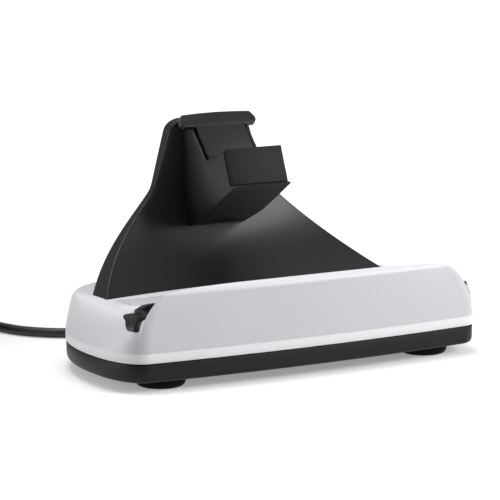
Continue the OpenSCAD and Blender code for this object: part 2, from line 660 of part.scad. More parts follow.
module at_plug() {
    translate(tail_route[len(tail_route) - 1]) rotate(plug_heading) rotate([0, 90, 0]) rotate(90) children();
}
module usb_plug_body() color(black_abs) at_plug() {
    cylinder(r1 = lead_r, r2 = 3.2, h = 9, $fn = fine);
    translate([0, 0, 9]) linear_extrude(23) stadium([15.5, 7.9]);
}
usb_size = [12, 4.5];
module usb_plug_shell() color(steel) at_plug() translate([-usb_size.x / 2, -usb_size.y / 2, 32]) difference() {
    cube([usb_size.x, usb_size.y, 18.5]);
    translate([0.35, 0.35, -1]) cube([usb_size.x - 0.7, usb_size.y - 0.7, 30]);
}
module usb_plug_insert() color(black_abs) at_plug() translate([-usb_size.x / 2 + 0.35, -usb_size.y / 2 + 0.35, 32])
    cube([usb_size.x - 0.7, 1.9, 17]);

base_tray();
light_band();
top_cover();
trough_liner();
riser_front();
riser_rear();
cradle_block();
cradle_face();
back_plate();
plug_housing();
plug_shell();
plug_insert();
plug_board();
main_board();
board_parts();
led_strip();
leds();
ballast_plate();
foot_front_left();
foot_front_right();
foot_rear_left();
foot_rear_right();
base_screws();
ballast_screws();
board_screws();
riser_foot_screws();
riser_screws();
cradle_screws();
strain_relief();
inner_lead();
power_lead();
power_lead_coil();
power_lead_end();
lead_tie();
usb_plug_body();
usb_plug_shell();
usb_plug_insert();
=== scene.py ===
"""Shapes are worked out in millimetres, as in the part's source, and turned to metres where a mesh or curve
is made.
"""

import math

import bmesh
import bpy
import numpy as np
from mathutils import Matrix, Vector


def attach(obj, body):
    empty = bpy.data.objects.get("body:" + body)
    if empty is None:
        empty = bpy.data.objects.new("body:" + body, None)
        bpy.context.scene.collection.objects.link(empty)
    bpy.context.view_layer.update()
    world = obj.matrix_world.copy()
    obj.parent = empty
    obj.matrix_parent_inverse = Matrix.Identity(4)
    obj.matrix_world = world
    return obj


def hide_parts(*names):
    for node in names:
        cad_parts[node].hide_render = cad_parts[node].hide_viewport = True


bl_info = {
    "name": "Console charging dock",
    "version": (1, 0, 0),
    "blender": (4, 5, 0),
    "location": "View3D > Sidebar > Dock",
    "description": "Builds a weighted dock with a light band, a curved riser, a cradle and its lead",
    "category": "Add Mesh",
}

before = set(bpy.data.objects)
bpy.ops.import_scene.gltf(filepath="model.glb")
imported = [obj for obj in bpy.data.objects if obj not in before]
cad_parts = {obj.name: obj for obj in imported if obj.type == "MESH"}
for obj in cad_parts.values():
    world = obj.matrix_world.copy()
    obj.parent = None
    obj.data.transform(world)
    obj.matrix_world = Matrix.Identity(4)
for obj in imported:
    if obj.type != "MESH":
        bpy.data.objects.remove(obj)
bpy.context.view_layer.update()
MM = 0.001
BODY = "root"


def linear(code):
    """Linear RGB of an sRGB hex colour."""
    parts = [int(code[i : i + 2], 16) / 255 for i in (1, 3, 5)]
    return [c / 12.92 if c <= 0.04045 else ((c + 0.055) / 1.055) ** 2.4 for c in parts]


# ---- Shape of the base: its plan, and rings set in from it ----

FRONT_BOW = 3.3
FRONT_FLAT = 72.0
WIDEST_Y = -17.0
REAR_FLAT = 35.0
CORNER_POWER = 2.3
REAR_POWER = 2.15
TRAY_Z = 4.1
TRAY_TOP = 11.4
TRAY_INSET = 0.25
SEAT_DEPTH = 0.7
POST_R = 3.2
HEAD_R = 2.7
BAND_Z = 11.8
BAND_TOP = 15.7
BAND_T = 3.0
WALL = 2.2
SIDE_LEAN = 5.0
DECK_FILLET = 7.5
DECK_REAR_FILLET = 2.0
REAR_BLEND = 6.0
FRONT_BLEND = 3.4
SHOULDER_POWER = 3.5
RIDGE_FILLET = 17.2
RIDGE_LEAN = 2.2
RIDGE_EDGE = 2.6
TROUGH_FRONT = -40.7
TROUGH_FLOOR = 23.2
SLOT_REAR = -25.4
POCKET_REAR = -15.8
POCKET_HALF = 58.9
POCKET_RIM = 1.0
LINER_T = 2.0
STRIP_TOP = 6.4
BOLSTER_Y = (-12.6, 1.8)
BOLSTER_RISE = 2.8
BOLSTER_HALF_W = 64.5
SLIP = 0.1
REACH = 100.0
FRONT_FOOT = (61.5, -29.5)
REAR_FOOT = (50.0, 27.0)
BASE_SCREWS = [(-30, -37.8), (30, -37.8), (-72, -2), (72, -2), (-40, 34), (40, 34)]
LEAD_EXIT_Z = 8.7


class Form:
    """The driving sizes in millimetres, read from the panel's properties."""

    def __init__(self):
        s = bpy.context.scene.dock_sizes
        self.half_w = s.base_half_width / MM
        self.half_d = s.base_half_depth / MM
        self.deck_z = s.deck_height / MM
        self.ridge_z = s.ridge_height / MM
        self.top_z = s.riser_height / MM
        self.foot_r = s.foot_radius / MM
        self.lead_d = s.lead_diameter / MM
        self.lean = s.console_lean


def plan(form, front=22, corner=30, rear=34):
    """The base's outline as points and outward normals, anticlockwise from the front's middle."""
    out = []
    for x in np.linspace(0, FRONT_FLAT, front + 1):
        out.append((x, FRONT_BOW * (x / FRONT_FLAT) ** 2 - form.half_d))
    for t in np.radians(np.linspace(90, 0, corner + 1))[1:]:
        out.append(
            (
                FRONT_FLAT + (form.half_w - FRONT_FLAT) * max(0.0, math.cos(t)) ** (2 / CORNER_POWER),
                WIDEST_Y - (form.half_d - FRONT_BOW + WIDEST_Y) * max(0.0, math.sin(t)) ** (2 / CORNER_POWER),
            )
        )
    for t in np.radians(np.linspace(0, 90, rear + 1))[1:]:
        out.append(
            (
                REAR_FLAT + (form.half_w - REAR_FLAT) * max(0.0, math.cos(t)) ** (2 / REAR_POWER),
                WIDEST_Y + (form.half_d - WIDEST_Y) * max(0.0, math.sin(t)) ** (2 / REAR_POWER),
            )
        )
    half = np.array(out)
    mirror = half[-1:0:-1] * (-1, 1)
    points = np.concatenate([half, mirror])
    along = np.roll(points, -1, 0) - np.roll(points, 1, 0)
    along /= np.linalg.norm(along, axis=1)[:, None]
    return points, np.stack([along[:, 1], -along[:, 0]], 1)


def ring(outline, z, side, other):
    """A level ring of the plan, set in by side at its ends and by other at its front and back."""
    points, normals = outline
    power = np.where(normals[:, 1] > 0, REAR_BLEND, FRONT_BLEND)
    w = np.abs(normals[:, 0]) ** power
    inset = side * w + other * (1 - w)
    p = points - normals * inset[:, None]
    return np.column_stack([p, np.full(len(p), z)])


# ---- Mesh helpers ----

# Turns a piece drawn upright so that its top points along +Y
LYING = Matrix.Rotation(math.radians(-90), 4, "X")


def piece(name, points, faces):
    """A new object from points in millimetres, with its faces turned outwards and shaded smooth."""
    mesh = bpy.data.meshes.new(name)
    mesh.from_pydata((np.asarray(points, float) * MM).tolist(), [], faces)
    tidy = bmesh.new()
    tidy.from_mesh(mesh)
    bmesh.ops.remove_doubles(tidy, verts=tidy.verts, dist=1e-6)
    bmesh.ops.recalc_face_normals(tidy, faces=tidy.faces)
    tidy.to_mesh(mesh)
    tidy.free()
    mesh.shade_smooth()
    obj = bpy.data.objects.new(name, mesh)
    bpy.context.scene.collection.objects.link(obj)
    return obj


def loft(name, rings, caps=True, looped=False):
    """A skin through rings of equal length, capped at both ends or joined last to first."""
    n = len(rings[0])
    count = len(rings)
    faces = []
    for k in range(count if looped else count - 1):
        a, b = k * n, ((k + 1) % count) * n
        faces += [[a + i, a + (i + 1) % n, b + (i + 1) % n, b + i] for i in range(n)]
    if caps and not looped:
        faces += [list(range(n))[::-1], [(count - 1) * n + i for i in range(n)]]
    return piece(name, np.concatenate(rings), faces)


def prism(name, outline, x0, x1):
    """A (y, z) outline extruded along X."""
    return loft(name, [np.array([(x, y, z) for y, z in outline]) for x in (x0, x1)])


def upright(name, outline, z0, z1):
    """An (x, y) outline extruded along Z."""
    return loft(name, [np.array([(x, y, z) for x, y in outline]) for z in (z0, z1)])


def rounded(outline, radius, steps=5, skip=()):
    """The outline with its corners turned to arcs, apart from those in skip."""
    p = np.array(outline, float)
    out = []
    for i in range(len(p)):
        a, b, c = p[i - 1], p[i], p[(i + 1) % len(p)]
        u, v = a - b, c - b
        reach = min(np.linalg.norm(u), np.linalg.norm(v)) * 0.45
        u, v = u / np.linalg.norm(u), v / np.linalg.norm(v)
        half = math.acos(max(-1.0, min(1.0, float(u @ v)))) / 2
        if i in skip or half > 1.52:
            out.append(b)
            continue
        trim = min(radius / math.tan(half), reach)
        r = trim * math.tan(half)
        mid = b + (u + v) / np.linalg.norm(u + v) * (r / math.sin(half))
        start, stop = b + u * trim - mid, b + v * trim - mid
        for k in range(steps + 1):
            w = start * (1 - k / steps) + stop * (k / steps)
            out.append(mid + w / np.linalg.norm(w) * r)
    return out


def box(name, lo, hi):
    """A plain block, used only to cut or to carry a bevel."""
    (x0, y0, z0), (x1, y1, z1) = lo, hi
    return upright(name, [(x0, y0), (x1, y0), (x1, y1), (x0, y1)], z0, z1)


def rod(name, at, r, z0, z1, n=40):
    """An upright round rod."""
    turn = np.linspace(0, 2 * math.pi, n, endpoint=False)
    return upright(name, [(at[0] + r * math.cos(a), at[1] + r * math.sin(a)) for a in turn], z0, z1)


def settle(obj):
    """Applies every modifier of obj."""
    graph = bpy.context.evaluated_depsgraph_get()
    made = bpy.data.meshes.new_from_object(obj.evaluated_get(graph))
    old = obj.data
    obj.modifiers.clear()
    obj.data = made
    bpy.data.meshes.remove(old)
    return obj


def combine(obj, operation, *others):
    """Adds, cuts or keeps what obj shares with the others, which are used up."""
    for other in others:
        step = obj.modifiers.new("combine", "BOOLEAN")
        step.object = other
        step.operation = operation
        step.solver = "EXACT"
        settle(obj)
        bpy.data.objects.remove(other)
    return obj


def edges(obj, width, segments=3, angle=35):
    """Rounds the sharp edges of obj and keeps its flat faces flat."""
    rim = obj.modifiers.new("edges", "BEVEL")
    rim.width = width * MM
    rim.segments = segments
    rim.limit_method = "ANGLE"
    rim.angle_limit = math.radians(angle)
    rim.harden_normals = False
    settle(obj)
    return crisp(obj, 40)


def crisp(obj, angle=35):
    """Shades obj smooth, apart from edges sharper than the angle."""
    obj.data.shade_smooth()
    obj.data.set_sharp_from_angle(angle=math.radians(angle))
    return obj


def finish(obj, material, slot, *nodes):
    """Gives a piece its material, hides the nodes it stands for, and puts it on the body; the slot argument
    is not used.
    """
    obj.data.materials.clear()
    obj.data.materials.append(bpy.data.materials[material])
    if nodes:
        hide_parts(*nodes)
    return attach(obj, BODY)


# ---- Materials ----

# Distance over which a finish changes its tone, in millimetres
CLOUD_SIZE = 28.0


def add(tree, kind, settings=None, links=None):
    """Adds a node with its settings, and links other nodes' outputs into its sockets."""
    made = tree.nodes.new(kind)
    for key, value in (settings or {}).items():
        if isinstance(key, str) and key in made.bl_rna.properties:
            setattr(made, key, value)
        else:
            made.inputs[key].default_value = value
    for key, source in (links or {}).items():
        tree.links.new(source, made.inputs[key])
    return made


def surface(name, colour, roughness, grain, height, cloud=0.05, shader=None, stretch=(1, 1, 1)):
    """A material with a fine grain that the light catches and slow changes of tone and gloss.

    grain is the size of one grain and height its depth, both in millimetres.
    """
    material = bpy.data.materials.new(name)
    material.use_nodes = True
    tree = material.node_tree
    tree.nodes.clear()
    place = add(tree, "ShaderNodeTexCoord")
    spread = add(tree, "ShaderNodeMapping", {"Scale": stretch}, {"Vector": place.outputs["Object"]})
    fine = add(
        tree,
        "ShaderNodeTexNoise",
        {"Scale": 1 / (grain * MM), "Detail": 3.0, "Roughness": 0.55},
        {"Vector": spread.outputs["Vector"]},
    )
    slow = add(
        tree,
        "ShaderNodeTexNoise",
        {"Scale": 1 / (CLOUD_SIZE * MM), "Detail": 2.0},
        {"Vector": place.outputs["Object"]},
    )
    darker = [c * (1 - cloud) for c in colour] + [1]
    lighter = [min(1, c * (1 + cloud)) for c in colour] + [1]
    tone = add(
        tree, "ShaderNodeMix", {"data_type": "RGBA", 6: darker, 7: lighter}, {0: slow.outputs[0]}
    )
    gloss = add(
        tree,
        "ShaderNodeMapRange",
        {"To Min": roughness * 0.93, "To Max": min(1.0, roughness * 1.07)},
        {"Value": fine.outputs[0]},
    )
    bump = add(tree, "ShaderNodeBump", {"Distance": height * MM}, {"Height": fine.outputs[0]})
    skin = add(
        tree,
        "ShaderNodeBsdfPrincipled",
        shader or {},
        {"Base Color": tone.outputs[2], "Roughness": gloss.outputs[0], "Normal": bump.outputs[0]},
    )
    add(tree, "ShaderNodeOutputMaterial", {}, {"Surface": skin.outputs[0]})
    return material


def make_materials():
    """Every finish of the dock."""
    c = bpy.context.scene.dock_colours
    # ABS moulded in a finely spark-eroded tool: an even satin grey with a soft sheen
    surface("moulded satin ABS, grey", c.cover, 0.42, 0.5, 0.010, 0.012, {"IOR": 1.54})
    # Opal polycarbonate: milky, it lets light in a little way before sending it back
    milk = {"Subsurface Weight": 0.25, "Subsurface Radius": (0.004, 0.004, 0.005), "Subsurface Scale": 0.5}
    surface("opal polycarbonate", c.band, 0.36, 1.2, 0.003, 0.01, {"IOR": 1.58, **milk})
    # ABS from a chemically etched tool: black, with a grain that greys it where light grazes
    dull = {"IOR": 1.54, "Specular IOR Level": 0.32}
    surface("moulded satin ABS, black", c.riser, 0.40, 0.55, 0.022, 0.06, dull)
    # The same resin in the tray, a shade lighter and duller
    dull = {"IOR": 1.54, "Specular IOR Level": 0.2}
    surface("moulded satin ABS, charcoal", c.tray, 0.45, 0.6, 0.018, 0.05, dull)
    # ABS with a deeper etched grain on the face that a console touches
    dull = {"IOR": 1.54, "Specular IOR Level": 0.15}
    surface("etched ABS face", c.face, 0.56, 0.7, 0.05, 0.06, dull)
    # Silicone rubber: near black and dull, it hardly shines even at its edge
    dull = {"IOR": 1.41, "Specular IOR Level": 0.2}
    surface("silicone rubber", c.rubber, 0.72, 0.9, 0.03, 0.08, dull)
    # Extruded PVC jacket: fine lines drawn along it by the die, soft shine
    surface("extruded PVC jacket", c.lead, 0.48, 0.8, 0.012, 0.06, {"IOR": 1.53})
    # Moulded PVC on the plug and the relief, with a fine matt grain
    surface("moulded PVC", c.lead, 0.55, 0.5, 0.03, 0.05, {"IOR": 1.53})
    # Polyester webbing of the tie: a coarse weave, about 0.8 mm between threads
    woven = {"IOR": 1.5, "Sheen Weight": 0.3}
    surface("woven polyester strap", linear("#232325"), 0.85, 0.8, 0.12, 0.15, woven)
    # Nickel plate over stamped steel: rolled lines, broad soft reflections
    metal = {"Metallic": 1.0}
    surface("nickel plated steel", linear("#b9bbbe"), 0.27, 0.35, 0.003, 0.04, metal, (1, 1, 0.15))
    # Zinc plate on a screw: duller, and a little blue
    surface("zinc plated steel", linear("#a4a8ae"), 0.38, 0.3, 0.004, 0.06, metal)
    # Glass-filled polyester that carries the contacts: dull black
    surface("glass-filled insulator", linear("#141415"), 0.6, 0.4, 0.01, 0.05, {"IOR": 1.55})
    # Epoxy board under a green solder resist: glossy, with the weave just showing
    surface("solder resist on epoxy", linear("#17583a"), 0.3, 0.6, 0.006, 0.12, {"IOR": 1.55})
    # Silicone filled with phosphor on each light emitter
    surface("phosphor silicone", linear("#efe3a8"), 0.35, 0.5, 0.004, 0.04, {"IOR": 1.45})


CAD_FINISH = {
    "plug_insert": "glass-filled insulator",
    "plug_board": "solder resist on epoxy",
    "main_board": "solder resist on epoxy",
    "board_parts": "glass-filled insulator",
    "led_strip": "solder resist on epoxy",
    "leds": "phosphor silicone",
    "ballast_plate": "zinc plated steel",
    "base_screws": "zinc plated steel",
    "ballast_screws": "zinc plated steel",
    "board_screws": "zinc plated steel",
    "riser_foot_screws": "zinc plated steel",
    "riser_screws": "zinc plated steel",
    "cradle_screws": "zinc plated steel",
    "inner_lead": "extruded PVC jacket",
}


# ---- Lead ----

LEAD_ROUTE = [
    (0, 46.2, 8.7), (0, 51, 8.7), (0, 56, 8.6), (0, 59.5, 8.2), (-0.6, 63.6, 7.2),
    (-3, 67.6, 5.7), (-7.2, 70.2, 4.3), (-12.6, 71, 3.1), (-19, 70.6, 2.3), (-26, 70, 2.1),
    (-33, 69.7, 2.1), (-39.5, 70.1, 2.1), (-45.4, 71.3, 2.1), (-51, 73.8, 2.1), (-55, 77, 2.1),
    (-58.7, 81, 2.1), (-62, 85.6, 2.1), (-64.6, 91.3, 2.1), (-66.5, 98.5, 2.1), (-68.3, 105, 2.2),
    (-70.2, 111, 2.5),
]
COIL_AT = (-100.0, 110.0)
COIL_RADII = (28.8, 24.6, 20.4)
COIL_LAYERS = (3.0, 7.2, 11.4)
# Radius and layer of each turn in the order in which the lead is wound
COIL_ORDER = [(0, 0), (0, 1), (1, 1), (1, 0), (2, 0), (2, 1), (2, 2), (1, 2), (0, 2)]
COIL_START = 13.9
COIL_TURNED = 2700.0
FIRST_CHANGE = 335.0
CHANGE_EVERY = 300.0
CHANGE_SPAN = 55.0
TAIL_ROUTE = [
    (-128.8, 103, 10.6), (-128.6, 96, 8.6), (-128, 89.5, 6.3), (-127.1, 83.6, 4.7), (-126, 78, 4),
]
PLUG_HEADING = -78.0
TIE_HALF = 6.3
TIE_TALL = 6.68
TIE_MIDDLE = 6.8
# Place along the lead, growth and corner radius of each loop of the strap's section
TIE_SECTION = (
    (-5.0, 0.0, 3.2), (-4.8, 0.12, 3.2), (4.8, 0.12, 3.2), (5.0, 0.0, 3.2),
    (4.8, -0.6, 2.6), (-4.8, -0.6, 2.6),
)
# Distance from the lead's end, width and height of the plug's grip
GRIP_SECTIONS = (
    (0, 4.3, 4.3), (0.4, 4.6, 4.6), (3, 5.0, 5.0), (6.4, 5.7, 5.7), (8.2, 6.4, 6.3), (8.9, 8.6, 7.0),
    (9.3, 11.4, 7.4), (10.2, 13.8, 7.7), (12, 15.0, 7.85), (14.5, 15.4, 7.4), (19, 15.5, 7.0),
    (24, 15.5, 7.2), (28, 15.5, 7.8), (30.8, 15.5, 7.9), (31.6, 15.2, 7.6), (32, 14.6, 7.0),
)
USB_HALF_W = 6.0
USB_HALF_H = 2.25
USB_WALL = 0.35


def coil_points(step=9.0):
    """Points round the coil, each turn moving over to its neighbour's place as it ends."""
    out = []
    angle = COIL_START
    while angle < COIL_TURNED + 0.01:
        r, z = COIL_RADII[0], COIL_LAYERS[0]
        for k in range(1, len(COIL_ORDER)):
            end = FIRST_CHANGE + CHANGE_EVERY * (k - 1)
            t = min(1.0, max(0.0, (angle - end + CHANGE_SPAN) / CHANGE_SPAN))
            t = t * t * (3 - 2 * t)
            (r0, z0), (r1, z1) = COIL_ORDER[k - 1], COIL_ORDER[k]
            r += (COIL_RADII[r1] - COIL_RADII[r0]) * t
            z += (COIL_LAYERS[z1] - COIL_LAYERS[z0]) * t
        a = math.radians(angle)
        out.append((COIL_AT[0] + r * math.cos(a), COIL_AT[1] + r * math.sin(a), z))
        angle += step
    return out


def smooth_route(points, between=3):
    """A finer line through the points, by Catmull and Rom's curve."""
    p = np.array(points, float)
    q = np.concatenate([[2 * p[0] - p[1]], p, [2 * p[-1] - p[-2]]])
    out = []
    for i in range(len(p) - 1):
        a, b, c, d = q[i : i + 4]
        square = 2 * a - 5 * b + 4 * c - d
        cube = 3 * b - a - 3 * c + d
        for t in np.arange(between) / between:
            out.append(0.5 * (2 * b + (c - a) * t + square * t**2 + cube * t**3))
    out.append(p[-1])
    return np.array(out)


def plug_frame():
    """The plug's own axes: Z runs out of the lead's end, X across the plug's width."""
    turn = Matrix.Rotation(math.radians(PLUG_HEADING), 4, "Z")
    turn = turn @ Matrix.Rotation(math.radians(90), 4, "Y") @ Matrix.Rotation(math.radians(90), 4, "Z")
    return Matrix.Translation(Vector(TAIL_ROUTE[-1]) * MM) @ turn


def place(obj, matrix):
    """Moves a new piece's mesh by a matrix."""
    obj.data.transform(matrix)
    return obj


def stadium(width, height, n=14):
    """A bar with half round ends."""
    out = []
    for side in (1, -1):
        for a in np.radians(np.linspace(-90, 90, n)):
            out.append((side * (width - height + height * math.cos(a)) / 2, side * height * math.sin(a) / 2))
    return out


class DOCK_OT_lead(bpy.types.Operator):
    """Builds the lead with its coil, tie, strain relief and plug."""

    bl_idname = "dock.lead"
    bl_label = "Lead and plug"

    def execute(self, context):
        form = Form()
        line = smooth_route(LEAD_ROUTE + coil_points() + TAIL_ROUTE)
        curve = bpy.data.curves.new("lead", "CURVE")
        curve.dimensions = "3D"
        curve.bevel_depth = form.lead_d / 2 * MM
        curve.bevel_resolution = 4
        curve.use_fill_caps = True
        spline = curve.splines.new("POLY")
        spline.points.add(len(line) - 1)
        for point, at in zip(spline.points, line):
            point.co = (*(at * MM), 1)
        spline.use_smooth = True
        lead = bpy.data.objects.new("lead", curve)
        context.scene.collection.objects.link(lead)
        nodes = ("power_lead", "power_lead_coil", "power_lead_end")
        finish(lead, "extruded PVC jacket", "lead_jacket", *nodes)

        loose = [self.tie(), self.plug_body(), self.plug_shell(), self.plug_insert(), self.relief(form)]
        return {"FINISHED"}

    def tie(self):
        """A woven strap round the coil's near side, with its edges eased."""
        mid = COIL_AT[1] - COIL_RADII[1]
        loops = []
        for x, grow, corner in TIE_SECTION:
            half, tall = TIE_HALF + grow, TIE_TALL + grow
            low, high = TIE_MIDDLE - tall, TIE_MIDDLE + tall
            outline = [(mid - half, low), (mid + half, low), (mid + half, high), (mid - half, high)]
            loops.append(np.array([(COIL_AT[0] + x, y, z) for y, z in rounded(outline, corner, 8)]))
        strap = crisp(loft("lead_tie_strap", loops, looped=True), 40)
        return finish(strap, "woven polyester strap", "tie_strap", "lead_tie")

    def plug_body(self):
        """The overmoulded plug: a round tail that swells into a flat grip with a shallow thumb hollow."""
        rings = []
        for z, w, h in GRIP_SECTIONS:
            rings.append(np.array([(x, y, z) for x, y in stadium(max(w, h + 0.001), h, 16)]))
        body = crisp(loft("usb_plug_grip", rings), 50)
        return finish(place(body, plug_frame()), "moulded PVC", "plug_moulding", "usb_plug_body")

    def plug_shell(self):
        """The folded steel shell, with its two spring windows."""
        outer, inner = (
            rounded([(-w, -h), (w, -h), (w, h), (-w, h)], corner, 4)
            for w, h, corner in (
                (USB_HALF_W, USB_HALF_H, 0.6), (USB_HALF_W - USB_WALL, USB_HALF_H - USB_WALL, 0.3),
            )
        )
        shell = upright("usb_plug_steel", outer, 32, 50.5)
        combine(shell, "DIFFERENCE", upright("bore", inner, 31, 60))
        for x in (-2.9, 2.9):
            combine(shell, "DIFFERENCE", box("window", (x - 1.1, -4, 38.5), (x + 1.1, 4, 40.9)))
        edges(shell, 0.08, 2)
        return finish(place(shell, plug_frame()), "nickel plated steel", "plated_steel", "usb_plug_shell")

    def plug_insert(self):
        """The tongue that carries the contacts, with its front edge eased."""
        tongue = box("usb_plug_tongue", (-5.65, -1.9, 32), (5.65, 0.0, 49))
        for x in (-3.5, -1.0, 1.0, 3.5):
            combine(tongue, "DIFFERENCE", box("groove", (x - 0.5, -0.15, 40), (x + 0.5, 1, 48.4)))
        edges(tongue, 0.15, 2)
        return finish(place(tongue, plug_frame()), "glass-filled insulator", "insulator", "usb_plug_insert")

    def relief(self, form):
        """The ribbed relief in the back wall: a flange inside, a collar, and a tail cut by grooves."""
        bore = form.lead_d / 2
        profile = [
            (bore, 42.0), (5.0, 42.0), (5.0, 43.7), (2.9, 43.8), (2.9, 46.0), (4.1, 46.3), (4.2, 46.9),
            (3.9, 48.2), (3.4, 48.9),
        ]
        y = 49.1
        while y < 55.2:
            r = 2.95 - 0.35 * (y - 49.0) / 7
            profile += [(r, y), (r, y + 0.55), (r - 0.4, y + 0.75), (r - 0.4, y + 1.1)]
            y += 1.3
        profile += [(2.55, 55.7), (2.4, 56.0), (bore, 56.0)]
        turns = np.linspace(0, 2 * math.pi, 32, endpoint=False)
        rings = [
            np.array([(r * math.cos(a), y, LEAD_EXIT_Z + r * math.sin(a)) for a in turns]) for r, y in profile
        ]
        boot = crisp(loft("strain_relief_boot", rings, looped=True), 40)
        low = box("floor", (-9, 40, -3), (9, 47, 6.2))
        combine(boot, "DIFFERENCE", low)
        crisp(boot, 40)
        return finish(boot, "moulded PVC", "lead_jacket", "strain_relief")


# ---- Base ----


def deck_skin(form, outline, off, start_z, steps=26):
    """The cover without its front wall: a side wall that rolls over into the deck."""
    rings = [ring(outline, start_z, off, off), ring(outline, BAND_TOP, off, off)]
    for t in np.radians(np.linspace(0, 90, steps + 1))[1:]:
        c = 1 - max(0.0, math.cos(t)) ** (2 / SHOULDER_POWER)
        rise = math.sin(t) ** (2 / SHOULDER_POWER)
        z = BAND_TOP + (form.deck_z - BAND_TOP - off) * rise
        rings.append(ring(outline, z, off + SIDE_LEAN * rise + DECK_FILLET * c, off + DECK_REAR_FILLET * c))
    return loft("deck", rings)


def ridge_skin(form, outline, start_z, steps=34):
    """The front wall before its back is cut: a leaning front with rounded ends and a soft top edge."""
    points, normals = outline
    rings = []
    for t in [-1.0] + list(np.radians(np.linspace(0, 90, steps + 1))):
        rise = max(0.0, math.sin(t)) if t >= 0 else 0.0
        z = BAND_TOP + (form.ridge_z - BAND_TOP) * rise if t >= 0 else start_z
        over = max(0.0, z - form.ridge_z + RIDGE_EDGE) / RIDGE_EDGE
        lean = RIDGE_LEAN * rise + RIDGE_EDGE * (1 - math.sqrt(max(0.0, 1 - over * over)))
        squeeze = RIDGE_FILLET * (1 - math.cos(t)) if t >= 0 else 0.0
        x = points[:, 0] * (1 - squeeze / form.half_w)
        y = points[:, 1] + lean * np.maximum(0, -normals[:, 1])
        rings.append(np.column_stack([x, y, np.full(len(x), z)]))
    return loft("ridge", rings)


def slot_outline(t):
    """The trough's (y, z) section, set in by a thickness."""
    return rounded(
        [
            (SLOT_REAR - t, 60),
            (SLOT_REAR - t, TROUGH_FLOOR + 5 + 0.8 * t),
            (TROUGH_FRONT + 9.9 - 0.43 * t, TROUGH_FLOOR + 3.7 + 0.92 * t),
            (TROUGH_FRONT + 5.8 - 0.33 * t, TROUGH_FLOOR + 0.7 + t),
            (TROUGH_FRONT + t, TROUGH_FLOOR + 0.6 + t),
            (TROUGH_FRONT + t, 60),
        ],
        0.9,
        4,
        skip=(0, 5),
    )


def pocket_outline(t):
    """The wide middle of the trough in plan, set in by a thickness."""
    half = [
        (POCKET_HALF, POCKET_REAR - t),
        (POCKET_HALF + 3.9 - 0.6 * t, POCKET_REAR - 1.5 - 0.9 * t),
        (POCKET_HALF + 10.3 - 1.2 * t, POCKET_REAR - 8 - 0.4 * t),
        (POCKET_HALF + 11.7 - 1.4 * t, POCKET_REAR - 9.2),
        (POCKET_HALF + 11.7 - 1.4 * t, TROUGH_FRONT + 7 - t),
    ]
    return rounded(half + [(-x, y) for x, y in half[::-1]], 1.5, 4)


